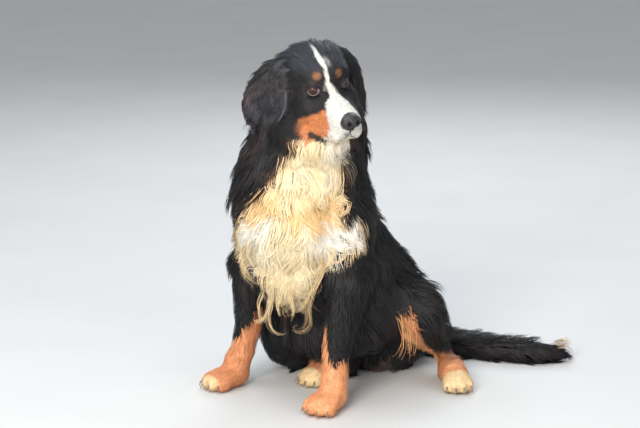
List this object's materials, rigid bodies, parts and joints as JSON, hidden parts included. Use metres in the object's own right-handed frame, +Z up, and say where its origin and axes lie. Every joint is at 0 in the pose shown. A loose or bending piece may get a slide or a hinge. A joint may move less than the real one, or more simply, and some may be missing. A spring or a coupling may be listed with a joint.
{
  "type": "bernese mountain dog",
  "caption": "Life-size still model of a long-coated tricolour mountain dog, sitting upright with its head turned to its left and its tail laid out along the floor beside it.",
  "frame": {"origin": "centre of the model's footprint, at the level of the floor it sits on", "axes": "+Z up, -Y the way the chest faces, +X towards the dog's left side"},
  "size_m": [0.5916, 0.7417, 0.8076],
  "materials": {
    "coat_black": "long soft wavy black hair with a light sheen",
    "coat_rust": "short rust-brown hair",
    "coat_cream": "cream-white hair",
    "nose_leather": "moist pebbled black nose leather",
    "eye_brown": "wet glossy dark brown eye",
    "claw_horn": "dull dark horn"
  },
  "bodies": {
    "root": {"claw_fore_left_1": "claw_horn", "claw_fore_left_2": "claw_horn", "claw_fore_left_3": "claw_horn", "claw_fore_left_4": "claw_horn", "claw_fore_right_1": "claw_horn", "claw_fore_right_2": "claw_horn", "claw_fore_right_3": "claw_horn", "claw_fore_right_4": "claw_horn", "claw_hind_left_1": "claw_horn", "claw_hind_left_2": "claw_horn", "claw_hind_left_3": "claw_horn", "claw_hind_left_4": "claw_horn", "claw_hind_right_1": "claw_horn", "claw_hind_right_2": "claw_horn", "claw_hind_right_3": "claw_horn", "claw_hind_right_4": "claw_horn", "ear_left": "coat_black", "ear_right": "coat_black", "eye_left": "eye_brown", "eye_right": "eye_brown", "foreleg_left": "coat_black", "foreleg_right": "coat_black", "head": "coat_black", "hindleg_left": "coat_black", "hindleg_right": "coat_black", "neck": "coat_black", "nose": "nose_leather", "paw_fore_left": "coat_rust", "paw_fore_right": "coat_rust", "paw_hind_left": "coat_cream", "paw_hind_right": "coat_cream", "tail": "coat_black", "trunk": "coat_black"}
  },
  "joints": []
}
